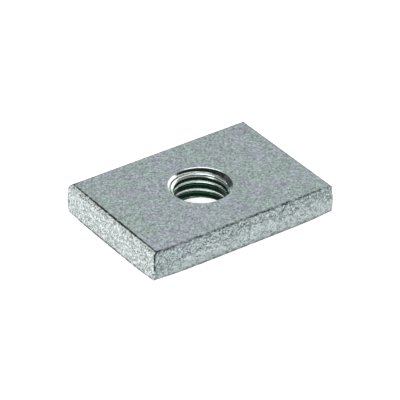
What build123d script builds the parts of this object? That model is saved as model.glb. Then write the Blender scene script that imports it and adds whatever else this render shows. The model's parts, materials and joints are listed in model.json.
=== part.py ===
from build123d import *
from build123d.topology import SkipClean
import os
from math import atan2, ceil, degrees, radians, tan

# A nut for a T slot: one flat plate, blanked from strip, with a tapped hole through its middle.
# Millimetres. The origin is on the bottom face, under the middle of the hole. X runs along the
# plate, Y across it, and Z up through the hole. The plate lies on its bottom face.

# Plate
plate_length = 34.0
plate_width = 24.2
plate_thickness = 5.1

# Edge of the plate. The die leaves a smooth upright band above the bottom face. Above that band
# the metal has broken away, and leans in.
smooth_band_height = 2.7
broken_band_lean = 0.2

# Rims. The plate was cut off the strip at its -X end. The edges there stay sharp, and the upper
# one has a bevel. The other edges, and the two upright corners at the +X end, are rounded.
cut_end_bevel_width = 0.6
cut_end_bevel_height = 0.45
bottom_edge_radius = 0.35
top_edge_radius = 0.4
plan_corner_radius = 0.8

# Tapped hole, M10 with the coarse pitch. The upper countersink is wider than the thread by the
# clearance, and the lower one only takes the burr off.
thread_diameter = 10.0
thread_pitch = 1.5
thread_flank_angle = 60.0
countersink_angle = 90.0
upper_countersink_clearance = 0.35
lower_countersink_depth = 0.3

# Where the thread starts: in the direction of this angle, counted from +X towards +Y, the middle
# of its groove is this far below the top face
groove_start_angle = 55.0
groove_start_depth = 0.83

# Broken band, worked out
broken_band_height = plate_thickness - smooth_band_height
broken_band_angle = degrees(atan2(broken_band_lean, broken_band_height))

# Hole before it is tapped, worked out. The drill is the thread's diameter less its pitch.
drill_radius = (thread_diameter - thread_pitch) / 2
countersink_slope = tan(radians(countersink_angle / 2))
upper_countersink_radius = (thread_diameter + upper_countersink_clearance) / 2
upper_countersink_depth = (upper_countersink_radius - drill_radius) / countersink_slope
lower_countersink_radius = drill_radius + lower_countersink_depth * countersink_slope

# Groove of the thread, worked out. It is flat at its root for an eighth of the pitch. Its cutter
# starts in the empty hole, a tenth of the pitch clear of the wall.
root_radius = thread_diameter / 2
root_half_width = thread_pitch / 16
cutter_radius = drill_radius - thread_pitch / 10
cutter_half_width = root_half_width + (root_radius - cutter_radius) * tan(radians(thread_flank_angle / 2))

# Whole turns of the groove, from below the bottom face to above the top face
turns_down = ceil((plate_thickness - groove_start_depth + cutter_half_width) / thread_pitch)
turns_up = ceil((groove_start_depth + cutter_half_width) / thread_pitch)
groove_start_height = plate_thickness - groove_start_depth
turn_places = [
    Location((0, 0, groove_start_height + turn * thread_pitch), (0, 0, groove_start_angle))
    for turn in range(-turns_down, turns_up)
]

# Cutter for one turn of the groove
with BuildPart() as groove_turn:
    with BuildLine():
        Helix(pitch=thread_pitch, height=thread_pitch, radius=root_radius)
    with BuildSketch(Plane.XZ):
        with BuildLine():
            Polyline(
                (cutter_radius, -cutter_half_width),
                (root_radius, -root_half_width),
                (root_radius, root_half_width),
                (cutter_radius, cutter_half_width),
                close=True,
            )
        make_face()
    sweep(is_frenet=True)

# Outline of the plate, at the full size of the die
with BuildSketch() as plate_outline:
    Rectangle(plate_length, plate_width)
    fillet(plate_outline.vertices().group_by(Axis.X)[-1], radius=plan_corner_radius)

with BuildPart() as slot_nut:
    # Smooth band
    add(plate_outline.sketch)
    extrude(amount=smooth_band_height)

    # Broken band, narrower towards the top face
    with Locations((0, 0, smooth_band_height)):
        add(plate_outline.sketch)
    extrude(amount=broken_band_height, taper=broken_band_angle)

    # Bevel at the cut end
    top_face = slot_nut.faces().sort_by(Axis.Z)[-1]
    cut_edge = top_face.edges().sort_by(Axis.X)[0]
    chamfer(cut_edge, length=cut_end_bevel_width, length2=cut_end_bevel_height, reference=top_face)

    # Rounded rims of the two broad faces, but for the edges at the cut end
    bottom_rim = slot_nut.faces().sort_by(Axis.Z)[0].edges().sort_by(Axis.X)[1:]
    fillet(bottom_rim, radius=bottom_edge_radius)
    top_rim = slot_nut.faces().sort_by(Axis.Z)[-1].edges().sort_by(Axis.X)[1:]
    fillet(top_rim, radius=top_edge_radius)

    # Drilled hole with a countersink at each mouth
    with BuildSketch(Plane.XZ) as hole_section:
        with BuildLine():
            Polyline(
                (0, 0),
                (lower_countersink_radius, 0),
                (drill_radius, lower_countersink_depth),
                (drill_radius, plate_thickness - upper_countersink_depth),
                (upper_countersink_radius, plate_thickness),
                (0, plate_thickness),
                close=True,
            )
        make_face()

    # The hole is bored in two half turns, and its wall stays two half faces, so that each face
    # of the thread's crest is half a turn long
    with SkipClean():
        for half_turn in (180, -180):
            revolve(hole_section.sketch, axis=Axis.Z, revolution_arc=half_turn, mode=Mode.SUBTRACT)

        # Thread, one turn after another
        with Locations(*turn_places):
            add(groove_turn.part, mode=Mode.SUBTRACT)

slot_nut.part.label = "slot_nut"

os.makedirs("parts", exist_ok=True)
export_step(slot_nut.part, "parts/slot_nut.step")
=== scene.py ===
import json
from itertools import product
from math import cos, pi, radians, sin, tan

import bmesh
import bpy
import numpy as np
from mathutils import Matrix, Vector


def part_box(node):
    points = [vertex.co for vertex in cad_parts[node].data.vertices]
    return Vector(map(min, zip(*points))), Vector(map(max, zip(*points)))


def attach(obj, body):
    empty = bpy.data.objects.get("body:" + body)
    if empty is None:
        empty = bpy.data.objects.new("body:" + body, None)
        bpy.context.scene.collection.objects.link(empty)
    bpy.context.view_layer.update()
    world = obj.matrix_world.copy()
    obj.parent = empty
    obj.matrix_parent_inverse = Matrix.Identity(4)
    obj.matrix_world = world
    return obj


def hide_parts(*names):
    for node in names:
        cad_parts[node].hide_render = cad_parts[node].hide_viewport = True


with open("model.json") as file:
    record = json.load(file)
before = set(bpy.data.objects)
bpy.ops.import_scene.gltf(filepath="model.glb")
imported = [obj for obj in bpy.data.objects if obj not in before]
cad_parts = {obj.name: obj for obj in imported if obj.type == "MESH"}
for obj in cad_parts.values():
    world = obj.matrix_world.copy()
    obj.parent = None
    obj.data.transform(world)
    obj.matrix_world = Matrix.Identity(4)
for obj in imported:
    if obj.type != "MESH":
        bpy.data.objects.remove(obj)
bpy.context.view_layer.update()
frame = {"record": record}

# Everything is in metres, in the part's own frame: X along the plate, Y across it, Z up. The
# plate was cut off the strip at its -X end, which is called the cut end here.
MM = 0.001

# Plate, from the frame
low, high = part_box("slot_nut")
length = high.x - low.x
width = high.y - low.y
thickness = high.z - low.z

# Edge of the plate. The smooth band stands above the bottom face. Above it the metal has broken
# away, and leans in.
smooth_band_height = 2.7 * MM
broken_band_lean = 0.2 * MM

# Rims at the cut end. They are sharp, and the upper one has a curved bevel, wider towards +Y.
sharp_edge_radius = 0.05 * MM
cut_corner_radius = 0.1 * MM
bevel_width = 0.58 * MM
bevel_height = 0.43 * MM
bevel_curve = 1.35
bevel_skew = 0.16 * MM
bevel_skew_reach = 3 * MM

# The other rims are rounded, and so are the two upright corners at the +X end
bottom_edge_radius = 0.35 * MM
top_edge_radius = 0.4 * MM
round_corner_radius = 0.4 * MM
least_corner_radius = 0.1 * MM

# Near the corners the die has drawn the bottom edge up and in, less far in at the cut end
drawn_lift = 0.22 * MM
drawn_inset = 0.5 * drawn_lift
drawn_cut_end_loss = 0.7
drawn_reach = 3.5 * MM
drawn_curve = 1.5
drawn_height = 1.6 * MM

# Where the metal has torn. The tear starts a little above the smooth band, at a height that
# wanders in long and short waves, and it reaches further down near the cut end.
tear_offset = 0.2 * MM
long_wave, long_wave_height = 6 * MM, 0.4 * MM
short_wave, short_wave_height = 1.1 * MM, 0.3 * MM
tear_dip, tear_dip_reach = 2.3 * MM, 3.6 * MM
tear_fade_below, tear_fade_above = 0.35 * MM, 0.25 * MM

# Relief of the side: pits in the torn metal, and upright drag lines in the smooth band. It
# begins above the bottom edge, and fades out over the top of the cut end.
tear_cell = 0.36 * MM
tear_depth = 0.022 * MM
tear_level = 0.35
drag_cell = (0.2 * MM, 0.2 * MM, 3 * MM)
drag_depth = 0.005 * MM
relief_start, relief_full = 0.02 * MM, 0.4 * MM
cut_end_relief_fade = 0.2 * MM

# Thin dark lines along the edges: how strong each one is, and how wide. The stronger it is, the
# less it breaks up into dots.
cut_rim_line, cut_rim_line_width, cut_rim_line_reach = 5, 0.11 * MM, 0.9 * MM
sharp_corner_line, sharp_corner_line_rise, sharp_corner_line_width = 0.6, 2.4, 0.12 * MM
line_rise_start, line_rise_end = 1.5 * MM, 3.2 * MM
# The line at the round corners of the +X end is painted shade
round_corner_shade_line, round_corner_shade_width = 0.45, 0.35 * MM
# The line at the foot is a painted contact shadow along the bottom edge, stronger at the cut end
foot_shadow_line, foot_shadow_line_width = 1.1, 0.5 * MM
cut_foot_shadow_extra, cut_foot_shadow_narrowing = 0.7, 0.22 * MM
dotted_line, dotted_line_width, dotted_line_depth = 1.1, 0.1 * MM, 0.3 * MM
dot_cell, dot_level, dot_contrast = 0.5 * MM, 0.3, 1.6

# Waves in the broad faces: how long and how deep
broad_wave, broad_wave_depth = 5 * MM, 0.004 * MM
small_wave, small_wave_depth = 1.6 * MM, 0.002 * MM

# Tapped hole, M10 with the coarse pitch. Its drilled radius is the one in the record.
tapped_hole = next(m for m in frame["record"]["mounts"] if m["name"] == "tapped_hole")
drill_radius = tapped_hole["dims"]["r_mm"] * MM
thread_pitch = 1.5 * MM
flank_angle = radians(30)
flank_slope = tan(flank_angle)
root_radius = drill_radius + thread_pitch / 2
sharp_root_radius = root_radius + thread_pitch / 16 / flank_slope
root_rounding = 0.38 * MM
root_half_width = root_rounding * cos(flank_angle)
crest_rounding = 0.03 * MM
groove_start_angle = radians(55)
groove_start_depth = 0.83 * MM
thread_tear_cell = (0.3 * MM, 0.3 * MM, 0.12 * MM)
thread_tear_depth = 0.006 * MM
thread_tear_margin = 0.02 * MM

# Where the marks of the hole that carry painted shade begin: the crests at a depth under the top
# face, and the bore between two depths under the upper cone's edge
crest_mark_depth = 1.0 * MM
bore_mark_start, bore_mark_full = 1.1 * MM, 1.6 * MM

# Countersinks. The edge between each cone and its broad face is eased in steps, each with its
# slope in degrees and its length in millimetres. The last step lies on the cone.
upper_cone_angle = 43
upper_rim_radius = root_radius + 0.13 * MM
upper_easing = [(5, 0.015), (10, 0.015), (15, 0.11), (25, 0.015), (35, 0.015),
                (upper_cone_angle, 0.02)]
lower_cone_angle = 45
lower_rim_radius = drill_radius + 0.06 * MM
lower_easing = [(15, 0.015), (30, 0.015), (lower_cone_angle, 0.02)]

# Steps of the mesh. The broad faces and the hole have a third of the outline's steps.
COARSE = 3
hole_steps = 360
outline_steps = COARSE * hole_steps
cut_corner_steps = 7
round_corner_steps = 14
bottom_rim_rows, band_rows, top_rim_rows = 6, 36, 9
root_rows, flank_rows, crest_rows = 5, 6, 4

# Marks that each point of the mesh carries for the material. They go from 0 to 1, but for arris,
# the strength of the dark lines, which goes further. Through the material several of them place
# painted light and shade: cut_end, die_edge, torn, bevel, bore, root and crest, and the arris lines
# at the foot and the round corners.
MARKS = ("torn", "cut_end", "die_edge", "machined", "bore", "crest", "root", "arris", "bevel")


# Noise

SEED = 7
AXIS_CODES = np.array((374761393, 668265263, 1440662683))
SEED_CODE = 1274126177
MIX_CODE = 1103515245
BITS_32, BITS_16 = 0xFFFFFFFF, 0xFFFF


def noise(points, cell, seed=0):
    """Smooth noise from -1 to 1 at each point, with features about one cell wide."""
    place = points / np.asarray(cell)
    corner = np.floor(place).astype(np.int64)
    part = place - corner
    part = part * part * (3 - 2 * part)
    total = np.zeros(points.shape[:-1])
    for step in product((0, 1), repeat=3):
        code = ((corner + step) @ AXIS_CODES + (seed + SEED) * SEED_CODE) & BITS_32
        code = ((code ^ (code >> 13)) * MIX_CODE) & BITS_32
        code = (code ^ (code >> 16)) & BITS_16
        weight = np.prod(np.where(step, part, 1 - part), axis=-1)
        total += weight * (code / (BITS_16 / 2) - 1)
    return total


def torn_noise(points, cell, seed):
    """Noise for torn metal: small sharp pits and ridges of two sizes."""
    coarse = noise(points, cell, seed)
    fine = noise(points, 0.5 * cell, seed + 1)
    ridges = np.abs(noise(points, 2.2 * cell, seed + 2))
    return 0.6 * coarse + 0.4 * fine + 0.3 * ridges


def smooth_step(value, start, end):
    """0 up to start, 1 from end on, and smooth between them."""
    t = np.clip((value - start) / (end - start), 0, 1)
    return t * t * (3 - 2 * t)


def bell(distance, spread):
    """1 at no distance, falling off smoothly over about one spread."""
    return np.exp(-(distance / spread) ** 2)


# Outline of the plate

def outline_runs():
    """Steps in each straight run: half the +X end, one long side, and the cut end."""
    half_end = width / 2 - round_corner_radius
    side = length - round_corner_radius - cut_corner_radius
    cut_end = width - 2 * cut_corner_radius
    straight = outline_steps - 2 * (cut_corner_steps + round_corner_steps)
    per_metre = straight / (2 * half_end + 2 * side + cut_end)
    half_end_steps = round(half_end * per_metre)
    side_steps = round(side * per_metre)
    return half_end_steps, side_steps, straight - 2 * half_end_steps - 2 * side_steps


half_end_steps, side_steps, cut_end_steps = outline_runs()


def straight_run(start, end, steps, normal):
    """Points and outward normals of one straight run of the outline."""
    start, end = np.array(start), np.array(end)
    share = np.arange(steps)[:, None] / steps
    return start + share * (end - start), np.tile(normal, (steps, 1))


def corner_run(centre, radius, quarter, steps):
    """Points and outward normals of one rounded corner. Its quarter turn counts from 0, from +X
    to +Y."""
    angle = (quarter + np.arange(steps) / steps) * pi / 2
    normal = np.c_[np.cos(angle), np.sin(angle)]
    return np.array(centre) + radius * normal, normal


def ring_outline(low_x, high_x, half_y, cut_radius, round_radius):
    """Points and outward normals of a rounded rectangle, anticlockwise from the middle of its
    +X end."""
    right, left = high_x - round_radius, low_x + cut_radius
    high_y, low_y = half_y - round_radius, half_y - cut_radius
    runs = [
        straight_run((high_x, 0), (high_x, high_y), half_end_steps, (1.0, 0.0)),
        corner_run((right, high_y), round_radius, 0, round_corner_steps),
        straight_run((right, half_y), (left, half_y), side_steps, (0.0, 1.0)),
        corner_run((left, low_y), cut_radius, 1, cut_corner_steps),
        straight_run((low_x, low_y), (low_x, -low_y), cut_end_steps, (-1.0, 0.0)),
        corner_run((left, -low_y), cut_radius, 2, cut_corner_steps),
        straight_run((left, -half_y), (right, -half_y), side_steps, (0.0, -1.0)),
        corner_run((right, -high_y), round_radius, 3, round_corner_steps),
        straight_run((high_x, -high_y), (high_x, 0), half_end_steps, (1.0, 0.0)),
    ]
    points, normals = zip(*runs)
    return np.concatenate(points), np.concatenate(normals)


outline, outline_normals = ring_outline(-length / 2, length / 2, width / 2,
                                        cut_corner_radius, round_corner_radius)
sharp_corners = product((-length / 2, length / 2), (-width / 2, width / 2))
corner_gap = np.min([np.hypot(*(outline - corner).T) for corner in sharp_corners], axis=0)
from_cut_end = outline[:, 0] + length / 2
at_cut_end = np.clip(-outline_normals[:, 0], 0, 1)
at_side = np.abs(outline_normals[:, 1])
at_cut_rim = np.maximum(at_cut_end, bell(from_cut_end, cut_rim_line_reach))
outline_at_foot = np.c_[outline, np.zeros(outline_steps)]


# Side of the plate, in rows from the bottom face up to the top face

def side_heights():
    """Heights of the rows, closer together on the two rims."""
    lower = bottom_edge_radius * (1 - np.cos(np.linspace(0, pi / 2, bottom_rim_rows)))
    upper = bevel_height * np.sin(np.linspace(0, pi / 2, top_rim_rows))
    upper = thickness - bevel_height + upper
    middle = np.linspace(lower[-1], upper[0], band_rows)[1:-1]
    return np.concatenate([lower, middle, upper])


def rounding(height_left, radius):
    """Inset of a rounded rim, where height_left is the height still to go to the broad face."""
    up = np.clip(1 - height_left / radius, 0, 1)
    return radius * (1 - np.sqrt(1 - up * up))


def side_ring(z):
    """One row of the side at the height z, without its roughness."""
    up_the_band = (z - smooth_band_height) / (thickness - smooth_band_height)
    lean = broken_band_lean * np.clip(up_the_band, 0, 1)
    up_the_bevel = np.clip((z - (thickness - bevel_height)) / bevel_height, 0, 1)
    bevel = bevel_width * up_the_bevel ** bevel_curve
    cut_inset = lean + bevel + rounding(z, sharp_edge_radius)
    inset = lean + rounding(thickness - z, top_edge_radius) + rounding(z, bottom_edge_radius)
    corner_radius = max(round_corner_radius - inset, least_corner_radius)
    points, normals = ring_outline(-length / 2 + cut_inset, length / 2 - inset,
                                   width / 2 - inset, cut_corner_radius, corner_radius)

    near_bevel = np.clip(1 - (points[:, 0] + length / 2) / bevel_skew_reach, 0, 1) ** 2
    points[:, 0] += bevel_skew * points[:, 1] / (width / 2) * up_the_bevel * near_bevel

    ring = np.c_[points, np.full(outline_steps, z)]
    drawn = np.exp(-(corner_gap / drawn_reach) ** drawn_curve)
    drawn = drawn * (1 - smooth_step(z, 0, drawn_height))
    inward = drawn_inset * drawn * (1 - drawn_cut_end_loss * at_cut_end)
    ring[:, 2] += drawn_lift * drawn
    ring[:, :2] -= inward[:, None] * normals
    return ring


def side_torn():
    """How torn the metal is at each point of the side. The cut end is torn all over."""
    start = (smooth_band_height + tear_offset
             + long_wave_height * noise(outline_at_foot, long_wave, 1)
             + short_wave_height * noise(outline_at_foot, short_wave, 2))
    start -= tear_dip * bell(from_cut_end, tear_dip_reach) * at_side
    share = smooth_step(side[..., 2] - start, -tear_fade_below, tear_fade_above)
    return share * (1 - at_cut_end) + at_cut_end


def side_lines():
    """How strong the thin dark lines along the edges are at each point of the side."""
    z = side[..., 2]
    from_top = np.linalg.norm(side - side[-1], axis=-1)
    rim = cut_rim_line * bell(from_top, cut_rim_line_width) * at_cut_rim

    rise = sharp_corner_line_rise * smooth_step(z, line_rise_start, line_rise_end)
    sharp_corner = bell(corner_gap, sharp_corner_line_width) * (outline[:, 0] < 0)
    sharp_corner = (sharp_corner_line + rise) * sharp_corner
    # Painted shade at the round corners
    round_corner_shade = bell(corner_gap, round_corner_shade_width) * (outline[:, 0] > 0)
    round_corner_shade = round_corner_shade_line * round_corner_shade

    # Painted contact shadow along the bottom edge
    foot_shadow_width = foot_shadow_line_width - cut_foot_shadow_narrowing * at_cut_end
    foot = (foot_shadow_line + cut_foot_shadow_extra * at_cut_end) * bell(z, foot_shadow_width)

    dots = np.clip(dot_level + dot_contrast * noise(outline_at_foot, dot_cell, 5), 0, 1)
    dotted = bell(from_top - dotted_line_depth, dotted_line_width) * dots * at_side
    dotted = dotted_line * dotted
    return np.max(np.broadcast_arrays(rim, sharp_corner, round_corner_shade, foot, dotted), axis=0)


def side_bevel():
    """1 on the bevel of the cut end."""
    start = thickness - bevel_height
    return smooth_step(side[..., 2], start, start + 0.25 * bevel_height) * at_cut_end


def roughened_side():
    """The side moved out and in: torn metal at the cut end and in the broken band, and drag lines
    in the smooth band. The relief fades out at the bottom edge, and at the top of the cut end."""
    pits = tear_depth * (torn_noise(side, tear_cell, 11) - tear_level)
    drag = drag_depth * (noise(side, drag_cell, 14) - 1)
    z = side[..., 2]
    near_top = smooth_step(z, thickness - cut_end_relief_fade, thickness)
    fade = smooth_step(z, relief_start, relief_full) * (1 - at_cut_end * near_top)
    depth = (torn * pits + (1 - torn) * drag) * fade
    rough = side.copy()
    rough[..., :2] += depth[..., None] * outline_normals
    return rough


side = np.array([side_ring(z) for z in side_heights()])
torn = side_torn()
dark_lines = side_lines()
on_bevel = side_bevel()
side = roughened_side()


# Mesh being gathered

class MeshParts:
    """Gathers the points, marks and faces of one mesh."""

    def __init__(self):
        self.points = []
        self.faces = []
        self.marks = {name: [] for name in MARKS}
        self.count = 0

    def add(self, points, **marks):
        """Adds points, with a value or an array for each mark they carry. Returns their numbers,
        in the same arrangement."""
        shape = points.shape[:-1]
        flat = points.reshape(-1, 3)
        numbers = np.arange(self.count, self.count + len(flat)).reshape(shape)
        self.points.append(flat)
        for name, values in self.marks.items():
            values.append(np.broadcast_to(marks.get(name, 0.0), shape).reshape(-1))
        self.count += len(flat)
        return numbers

    def join_rings(self, lower, upper):
        """Faces between two closed rings of equal count. Seen from outside, lower is below and
        runs to the right."""
        for i in range(len(lower)):
            k = (i + 1) % len(lower)
            self.faces.append((lower[i], lower[k], upper[k], upper[i]))

    def join_broad_rings(self, outer, inner, upward):
        """Faces between two rings of equal count on a face that looks up or down."""
        if upward:
            self.join_rings(outer, inner)
        else:
            self.join_rings(inner, outer)

    def join_coarse(self, outer, inner, upward):
        """Faces between an outer ring and an inner one with a third of its points."""
        for i in range(len(inner)):
            k = (i + 1) % len(inner)
            a, b, c, d = (outer[(COARSE * i + n) % len(outer)] for n in range(4))
            made = [(a, b, inner[i]), (b, c, inner[k], inner[i]), (c, d, inner[k])]
            self.faces.extend(made if upward else [face[::-1] for face in made])


parts = MeshParts()


# Side

side_numbers = parts.add(side, torn=torn, arris=dark_lines, bevel=on_bevel,
                         cut_end=at_cut_end, die_edge=1 - at_cut_end)
for lower_row, upper_row in zip(side_numbers, side_numbers[1:]):
    parts.join_rings(lower_row, upper_row)


# Broad faces, from the side's last ring in to the hole's rim

hole_angles = np.arange(hole_steps) * 2 * pi / hole_steps
hole_directions = np.c_[np.cos(hole_angles), np.sin(hole_angles)]

# How far each ring of a broad face lies on the way from the side to the rim. The waves have
# their full depth between two such shares, and the drawn corners end at another.
ring_shares = [0.004, 0.01, 0.02, 0.04, 0.07, 0.11, 0.18, 0.28, 0.4, 0.52, 0.64, 0.76, 0.86,
               0.93, 0.97, 0.99, 1.0]
wave_start, wave_end = 0.05, 0.9
drawn_end = 0.11


def broad_face(edge_numbers, edge_points, rim_radius, z, upward):
    """Joins the side's last ring to the hole's rim across one broad face. Returns the ring at
    the rim."""
    edge = edge_points[::COARSE, :2]
    raised = edge_points[::COARSE, 2] - z
    rim = hole_directions * rim_radius
    last = None
    for share in ring_shares:
        ring = np.full((hole_steps, 3), z)
        ring[:, :2] = edge + (rim - edge) * share
        wave = np.abs(broad_wave_depth * noise(ring, broad_wave, 21)
                      + small_wave_depth * noise(ring, small_wave, 22))
        wave *= smooth_step(share, 0, wave_start) * (1 - smooth_step(share, wave_end, 1.0))
        ring[:, 2] += -wave if upward else wave
        ring[:, 2] += raised * (1 - smooth_step(share, 0, drawn_end))
        line = 0.0
        if upward:
            from_edge = np.linalg.norm(ring[:, :2] - edge, axis=1)
            line = cut_rim_line * bell(from_edge, cut_rim_line_width) * at_cut_rim[::COARSE]
        numbers = parts.add(ring, arris=line)
        if last is None:
            parts.join_coarse(edge_numbers, numbers, upward)
        else:
            parts.join_broad_rings(last, numbers, upward)
        last = numbers
    return last


def eased_start(rim_radius, easing):
    """Radius at which the easing starts, so that a slope of 45 degrees through its end would
    meet the broad face at rim_radius."""
    return rim_radius + sum(step * (cos(radians(slope)) - sin(radians(slope)))
                            for slope, step in easing) * MM


def eased_rim(start, radius, z, upward, easing):
    """Eases the edge between a broad face and its cone. Returns the radius and the height at
    which the cone begins."""
    down = 1 if upward else -1
    last = start
    for slope, step in easing:
        radius -= step * MM * cos(radians(slope))
        z -= down * step * MM * sin(radians(slope))
        numbers = parts.add(np.c_[hole_directions * radius, np.full(hole_steps, z)], machined=1.0)
        parts.join_broad_rings(last, numbers, upward)
        last = numbers
    return radius, z


upper_edge_radius = eased_start(upper_rim_radius, upper_easing)
lower_edge_radius = eased_start(lower_rim_radius, lower_easing)
top_ring = broad_face(side_numbers[-1], side[-1], upper_edge_radius, thickness, True)
bottom_ring = broad_face(side_numbers[0], side[0], lower_edge_radius, 0.0, False)
upper_radius, upper_height = eased_rim(top_ring, upper_edge_radius, thickness, True, upper_easing)
lower_radius, lower_height = eased_rim(bottom_ring, lower_edge_radius, 0.0, False, lower_easing)


# Wall of the hole: two cones and the thread

def soft_max(a, b, blend):
    """The larger of a and b, rounded where they cross."""
    gap = np.clip((a - b) / blend, -1, 1)
    rounded = (a + b) / 2 + blend * (gap * gap + 1) / 4
    return np.where(np.abs(a - b) >= blend, np.maximum(a, b), rounded)


def wall_radius(offset, z):
    """Radius of the wall at a height z, where offset is the height above the middle of the
    groove."""
    offset = np.abs((offset + thread_pitch / 2) % thread_pitch - thread_pitch / 2)
    arc = np.sqrt(np.maximum(root_rounding ** 2 - offset ** 2, 0))
    arc = arc + sharp_root_radius - 2 * root_rounding
    flank = sharp_root_radius - offset / flank_slope
    groove = np.where(offset < root_half_width, arc, flank)
    thread = soft_max(groove, drill_radius, crest_rounding)
    upper_cone = upper_radius - (upper_height - z) / tan(radians(upper_cone_angle))
    lower_cone = lower_radius - (z - lower_height) / tan(radians(lower_cone_angle))
    return np.maximum(np.maximum(thread, upper_cone), lower_cone)


def turn_offsets():
    """Heights of one turn's rows above the middle of the groove, closer together at the corners
    of the profile."""
    crest_edge = (sharp_root_radius - drill_radius) * flank_slope
    half = [*np.linspace(0, root_half_width, root_rows),
            *np.linspace(root_half_width, crest_edge, flank_rows)[1:],
            *np.linspace(crest_edge, thread_pitch / 2, crest_rows)[1:]]
    return np.array(half + [thread_pitch - height for height in reversed(half[1:-1])])


def thread_wall(one_turn):
    """Points of the wall, and how near each one is to a crest and to a root. The rows climb with
    the groove, and those beyond a cone's edge are gathered on it."""
    turns_down = int(np.ceil((thickness - groove_start_depth) / thread_pitch)) + 1
    turns_up = 2
    offsets = np.concatenate([one_turn + turn * thread_pitch
                              for turn in range(-turns_down, turns_up)])
    climb = thread_pitch * (hole_angles - groove_start_angle) / (2 * pi)
    groove_height = thickness - groove_start_depth + climb
    height = groove_height + offsets[:, None]
    z = np.clip(height, lower_height, upper_height)
    radius = wall_radius(z - groove_height, z)
    radius[height <= lower_height] = lower_radius
    radius[height >= upper_height] = upper_radius
    points = np.concatenate([radius[..., None] * hole_directions, z[..., None]], axis=-1)

    above, below = z > lower_height + thread_tear_margin, z < upper_height - thread_tear_margin
    tear = thread_tear_depth * noise(points, thread_tear_cell, 31) * (above & below)
    points[..., :2] += tear[..., None] * hole_directions

    to_crest = (sharp_root_radius - radius) / (sharp_root_radius - drill_radius)
    crest = smooth_step(to_crest, 0.8, 0.95) * (z < thickness - crest_mark_depth)
    root = 1 - smooth_step(to_crest, 0.42, 0.62)
    return points, crest, root


def join_wall(numbers, per_turn):
    """Faces of the wall. From the last column to the first the groove has climbed one turn, so
    each row goes on there as the row one turn higher."""
    rows = len(numbers)
    for row in range(rows - 1):
        for i in range(hole_steps):
            k = (i + 1) % hole_steps
            shift = per_turn if k == 0 else 0
            if row + 1 + shift < rows:
                a, b = numbers[row, i], numbers[row + shift, k]
                c, d = numbers[row + 1 + shift, k], numbers[row + 1, i]
                parts.faces.append((b, a, d, c))


one_turn = turn_offsets()
wall, crest, root = thread_wall(one_turn)
in_bore = smooth_step(upper_height - wall[..., 2], bore_mark_start, bore_mark_full)
wall_numbers = parts.add(wall, machined=1.0, bore=in_bore, crest=crest, root=root)
join_wall(wall_numbers, len(one_turn))


# One closed mesh. Points nearer to each other than the first distance are joined, and edges
# shorter than the second are dissolved.

join_distance = 0.0004 * MM
least_edge = 0.0002 * MM


def make_nut():
    """The nut, with its marks, as one object."""
    mesh = bpy.data.meshes.new("nut_body")
    points = np.concatenate(parts.points)
    mesh.from_pydata(points.tolist(), [], [tuple(int(n) for n in face) for face in parts.faces])
    for name, values in parts.marks.items():
        values = np.concatenate(values).astype(np.float32)
        mesh.attributes.new(name, "FLOAT", "POINT").data.foreach_set("value", values)
    work = bmesh.new()
    work.from_mesh(mesh)
    bmesh.ops.remove_doubles(work, verts=work.verts, dist=join_distance)
    bmesh.ops.dissolve_degenerate(work, edges=work.edges, dist=least_edge)
    work.to_mesh(mesh)
    work.free()
    mesh.shade_smooth()
    nut = bpy.data.objects.new("nut_body", mesh)
    bpy.context.scene.collection.objects.link(nut)
    return nut


nut = make_nut()
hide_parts("slot_nut")
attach(nut, "root")


# Materials

class Nodes:
    """Makes and joins the nodes of one material or world."""

    def __init__(self, tree):
        self.tree = tree
        tree.nodes.clear()

    def put(self, socket, value):
        """Joins an input to a node's output, or sets it to a plain value."""
        if isinstance(value, bpy.types.NodeSocket):
            self.tree.links.new(value, socket)
        else:
            socket.default_value = value

    def make(self, kind, settings=None, **inputs):
        """Makes a node. An input goes by its name, with _ for a space, or by n and its number."""
        node = self.tree.nodes.new(kind)
        for name, value in (settings or {}).items():
            setattr(node, name, value)
        for name, value in inputs.items():
            numbered = name[0] == "n" and name[1:].isdigit()
            self.put(node.inputs[int(name[1:]) if numbered else name.replace("_", " ")], value)
        return node

    def math(self, operation, *values, clamp=False):
        inputs = {f"n{i}": value for i, value in enumerate(values)}
        settings = {"operation": operation, "use_clamp": clamp}
        return self.make("ShaderNodeMath", settings, **inputs).outputs[0]

    def blend(self, share, a, b):
        """Goes from a to b as share goes from 0 to 1."""
        return self.math("MULTIPLY_ADD", share, self.math("SUBTRACT", b, a), a)

    def spread(self, share, low, high):
        """The same, between two plain numbers."""
        return self.math("MULTIPLY_ADD", share, high - low, low)

    def mix(self, share, a, b):
        """The same, between two colours."""
        node = self.make("ShaderNodeMix", {"data_type": "RGBA"})
        for number, value in ((0, share), (6, a), (7, b)):
            self.put(node.inputs[number], value)
        return node.outputs[2]

    def scaled(self, vector, factor):
        settings = {"operation": "SCALE"}
        return self.make("ShaderNodeVectorMath", settings, Vector=vector, Scale=factor).outputs[0]

    def attribute(self, name):
        return self.make("ShaderNodeAttribute", {"attribute_name": name}).outputs["Fac"]

    def cells(self, place, scale):
        """A random number from 0 to 1 in each crystal."""
        colour = self.make("ShaderNodeTexVoronoi", Vector=place, Scale=scale).outputs["Color"]
        return self.make("ShaderNodeSeparateColor", Color=colour).outputs[0]

    def clouds(self, place, scale, detail, roughness=0.5):
        """Soft noise from 0 to 1."""
        return self.make("ShaderNodeTexNoise", Vector=place, Scale=scale, Detail=detail,
                         Roughness=roughness).outputs["Fac"]


# Colours of the plating. The two greys of the broad faces lie in patches.
green_grey = (0.478, 0.584, 0.563, 1)
violet_grey = (0.511, 0.562, 0.616, 1)
# Painted light and shade on the edge: the cut end is painted lighter, the other sides darker, and
# their torn band darker still as painted shade of its pits
cut_end_painted_light_grey = (0.532, 0.582, 0.579, 1)
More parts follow.
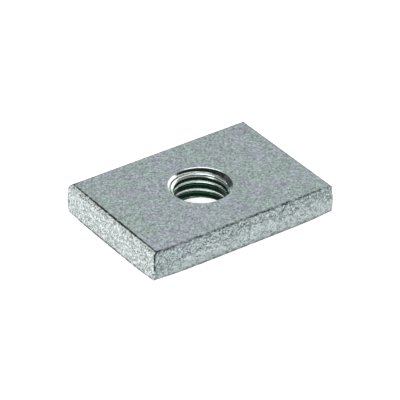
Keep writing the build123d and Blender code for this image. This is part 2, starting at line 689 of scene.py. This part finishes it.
# The bevel of the cut end is painted light, as bright as the cut end below it
bevel_painted_light_grey = (0.80, 0.88, 0.86, 1)
die_edge_painted_shade_grey = (0.362, 0.411, 0.411, 1)
torn_edge_painted_shade_grey = (0.30, 0.350, 0.351, 1)
machined_grey = (0.70, 0.81, 0.77, 1)
# Painted shade deep in the hole, below the upper cone
bore_painted_shade_grey = (0.18, 0.30, 0.23, 1)
# A painted highlight along the roots of the thread
root_painted_highlight_grey = (0.90, 0.96, 0.93, 1)
# Painted shade on the crests, a dark reflection of the hole
crest_painted_shade_grey = (0.005, 0.016, 0.01, 1)
line_grey = (0.015, 0.02, 0.02, 1)

# Scales of the plating's patterns, in features to a millimetre
crystal_scale, small_crystal_scale = 4.0, 6.5
blotch_scale, patch_scale, dot_scale, ripple_scale = 1.3, 0.27, 1.6, 4.0


def plating_shade(n, place, marks, small_cells):
    """How bright the plating is, about 1: crystals of two sizes, specks and blotches."""
    crystals = n.math("MULTIPLY", n.cells(place, crystal_scale), 0.5)
    crystals = n.math("MULTIPLY_ADD", small_cells, 0.5, crystals)
    swing = n.math("MULTIPLY_ADD", marks["torn"], 0.75, n.spread(marks["die_edge"], 1.15, 1.35))
    swing = n.math("MULTIPLY", swing, n.spread(marks["machined"], 1.0, 0.15))
    shade = n.math("MULTIPLY_ADD", n.math("SUBTRACT", crystals, 0.5), swing, 1.0)

    pale_specks = n.math("MULTIPLY_ADD", small_cells, 10.0, -9.2, clamp=True)
    dark_specks = n.math("MULTIPLY_ADD", small_cells, -10.0, 0.8, clamp=True)
    specks = n.math("SUBTRACT", pale_specks, dark_specks)
    shade = n.math("MULTIPLY_ADD", specks, n.spread(marks["machined"], 0.22, 0.0), shade)

    blotches = n.math("SUBTRACT", n.clouds(place, blotch_scale, 2.0, 0.6), 0.5)
    blotches = n.math("MULTIPLY", blotches, n.spread(marks["machined"], 0.5, 0.1))
    return n.math("MAXIMUM", n.math("ADD", shade, blotches), 0.12)


def plating_tint(n, place, marks):
    """Colour of the plating: patches of two greys on the broad faces, and one grey for each part of
    the edge and of the hole. These greys hold painted light and shade: the cut end and its bevel
    painted lighter, the other sides darker, painted shade deep in the hole and on the crests, and a
    painted highlight along the roots."""
    patches = n.clouds(place, patch_scale, 1.5, 0.6)
    patches = n.math("MULTIPLY_ADD", patches, 4.0, -1.5, clamp=True)
    tint = n.mix(patches, green_grey, violet_grey)
    tint = n.mix(marks["die_edge"], tint, n.mix(marks["torn"], die_edge_painted_shade_grey, torn_edge_painted_shade_grey))
    for mark, grey in (("cut_end", cut_end_painted_light_grey), ("bevel", bevel_painted_light_grey),
                       ("machined", machined_grey), ("bore", bore_painted_shade_grey), ("root", root_painted_highlight_grey),
                       ("crest", crest_painted_shade_grey)):
        tint = n.mix(marks[mark], tint, grey)
    return tint


def line_share(n, place, marks):
    """How dark the thin lines along the edges are. Weak ones break up into dots. The lines at the
    foot and at the round corners are painted shade.
    """
    dots = n.math("MULTIPLY_ADD", n.clouds(place, dot_scale, 2.0), 4.0, -1.2, clamp=True)
    line = n.math("MULTIPLY", marks["arris"], dots, clamp=True)
    return n.math("MULTIPLY", line, 0.95)


def plating_roughness(n, marks, small_cells):
    """Roughness of the plating. It differs from crystal to crystal, and is least in the hole."""
    rough = n.spread(small_cells, 0.3, 0.46)
    rough = n.math("MULTIPLY_ADD", marks["torn"], 0.1, rough)
    rough = n.math("MULTIPLY_ADD", marks["bevel"], 0.35, rough)
    return n.math("MULTIPLY", rough, n.spread(marks["machined"], 1.0, 0.4))


def plating_relief(n, place, marks):
    """Relief of the plating: fine ripples, deeper where the metal is torn."""
    lift = n.math("MULTIPLY_ADD", marks["torn"], 1.2, 1.0)
    lift = n.math("MULTIPLY", lift, n.spread(marks["machined"], 1.0, 0.08))
    relief = n.math("MULTIPLY", n.clouds(place, ripple_scale, 3.0, 0.65), lift)
    return n.make("ShaderNodeBump", Height=relief, Strength=1.0, Distance=0.03 * MM).outputs[0]


def zinc_plated_steel():
    """Dull zinc plating: a fine crystal grain, a faint mottle, and torn metal that is coarser."""
    material = bpy.data.materials.new("zinc_plated_steel")
    material.use_nodes = True
    n = Nodes(material.node_tree)
    place = n.scaled(n.make("ShaderNodeTexCoord").outputs["Object"], 1 / MM)
    marks = {name: n.attribute(name) for name in MARKS}
    small_cells = n.cells(place, small_crystal_scale)
    shade = plating_shade(n, place, marks, small_cells)
    colour = n.scaled(plating_tint(n, place, marks), shade)
    colour = n.mix(line_share(n, place, marks), colour, line_grey)
    shader = n.make("ShaderNodeBsdfPrincipled", Base_Color=colour, Metallic=1.0,
                    Roughness=plating_roughness(n, marks, small_cells),
                    Normal=plating_relief(n, place, marks))
    n.make("ShaderNodeOutputMaterial", Surface=shader.outputs[0])
    return material


nut.data.materials.append(zinc_plated_steel())


# Stage

WHITE = (1, 1, 1, 1)
floor_paint = (0.8, 0.8, 0.8, 1)
floor_glow, floor_glow_in_metal = 0.86, 0.74
floor_reach = 1.2
floor_gap = 0.02 * MM
light_distance = 0.6


def pale_floor():
    """A pale floor, a little darker where the metal reflects it."""
    material = bpy.data.materials.new("pale_floor")
    material.use_nodes = True
    n = Nodes(material.node_tree)
    paths = n.make("ShaderNodeLightPath").outputs
    in_metal = n.math("MAXIMUM", paths["Is Glossy Ray"], paths["Is Transmission Ray"])
    glow = n.math("MAXIMUM", n.math("MULTIPLY", in_metal, floor_glow_in_metal),
                  n.math("MULTIPLY", paths["Is Camera Ray"], floor_glow))
    paint = n.make("ShaderNodeBsdfDiffuse", Color=floor_paint).outputs[0]
    light = n.make("ShaderNodeEmission", Color=WHITE, Strength=glow).outputs[0]
    both = n.make("ShaderNodeAddShader", n0=paint, n1=light).outputs[0]
    n.make("ShaderNodeOutputMaterial", Surface=both)
    return material


def stage_floor():
    """A square floor just under the plate."""
    reach = floor_reach
    corners = [(-reach, -reach, 0), (reach, -reach, 0), (reach, reach, 0), (-reach, reach, 0)]
    mesh = bpy.data.meshes.new("stage_floor")
    mesh.from_pydata(corners, [], [(0, 1, 2, 3)])
    mesh.materials.append(pale_floor())
    floor = bpy.data.objects.new("stage_floor", mesh)
    floor.location.z = -floor_gap
    bpy.context.scene.collection.objects.link(floor)


def direction(azimuth, elevation):
    """Unit vector from the object to a place at that azimuth, from -Y towards +X, and elevation."""
    a, e = radians(azimuth), radians(elevation)
    return Vector((sin(a) * cos(e), -cos(a) * cos(e), sin(e)))


def studio_world():
    """A studio with pale walls. Its ceiling is grey overhead and at the back, and dark in front
    of that. At the back left the dark runs on down the wall to its foot."""
    world = bpy.data.worlds.new("studio")
    bpy.context.scene.world = world
    world.use_nodes = True
    n = Nodes(world.node_tree)
    way = n.make("ShaderNodeTexCoord").outputs["Generated"]

    def along(towards, start, end, low=0.0, high=1.0):
        """Goes from low to high as the way turns towards a direction."""
        settings = {"operation": "DOT_PRODUCT"}
        part = n.make("ShaderNodeVectorMath", settings, n0=way, n1=towards).outputs["Value"]
        return n.make("ShaderNodeMapRange", {"interpolation_type": "SMOOTHSTEP"}, Value=part,
                      From_Min=start, From_Max=end, To_Min=low, To_Max=high).outputs[0]

    up = (0, 0, 1)
    back = (0.574, 0.819, 0)
    front_right = (0.42, -0.907, 0)
    back_left = (-0.469, 0.883, 0)
    high_back = tuple(direction(145, 63))

    # Ceiling
    near_high_back = along(high_back, 0.62, 0.72)
    ceiling = along(back, 0.15, 0.7, 0.004, 0.45)
    ceiling = n.math("MAXIMUM", ceiling, n.math("MULTIPLY", near_high_back, 0.32))

    # Walls, with a dark band at the back left, round the grey of the ceiling
    far_from_high_back = along(high_back, 0.44, 0.36)
    band = n.math("SUBTRACT", 1.0, n.math("MAXIMUM", near_high_back, far_from_high_back))
    at_back_left = along(back_left, 0.68, 0.88)
    wall = along(front_right, -0.4, 0.4, 0.6, 1.2)
    wall = n.blend(n.math("MULTIPLY", at_back_left, band), wall, 0.05)

    # Foot of the walls
    foot = n.spread(at_back_left, 1.0, 0.1)

    strength = n.blend(along(up, 0.58, 0.46), ceiling, wall)
    strength = n.blend(along(up, 0.12, 0.07), strength, foot)
    sky = n.make("ShaderNodeBackground", Color=WHITE, Strength=strength).outputs[0]
    n.make("ShaderNodeOutputWorld", Surface=sky)


def soft_light(name, way, size, brightness):
    """An area light that faces the object. At a brightness of 1 a mirror would show it as white."""
    data = bpy.data.lights.new(name, "AREA")
    data.shape = "RECTANGLE"
    data.size, data.size_y = size
    data.energy = brightness * pi * size[0] * size[1]
    light = bpy.data.objects.new(name, data)
    place = way * light_distance
    light.location = place
    light.rotation_euler = (-place).to_track_quat("-Z", "Y").to_euler()
    bpy.context.scene.collection.objects.link(light)


stage_floor()
studio_world()
soft_light("back_light", direction(160, 71), (0.4, 0.36), 1.7)
soft_light("right_light", direction(95, 22), (0.45, 0.35), 0.7)
soft_light("front_light", direction(-50, 19), (0.75, 0.3), 1.9)


# Camera

camera_distance_mm = 470.7
view_target = Vector((-0.06, 0.05, 2.31)) * MM
camera_data = bpy.data.cameras.new("camera")
camera_data.lens = 270
camera_data.sensor_width = 36
camera_data.clip_start = 10 * MM
camera = bpy.data.objects.new("camera", camera_data)
camera.location = direction(-35.03, 33.066) * camera_distance_mm * MM
camera.rotation_euler = (view_target - camera.location).to_track_quat("-Z", "Y").to_euler()
bpy.context.scene.collection.objects.link(camera)
bpy.context.scene.camera = camera
bpy.context.scene.view_settings.view_transform = "Standard"
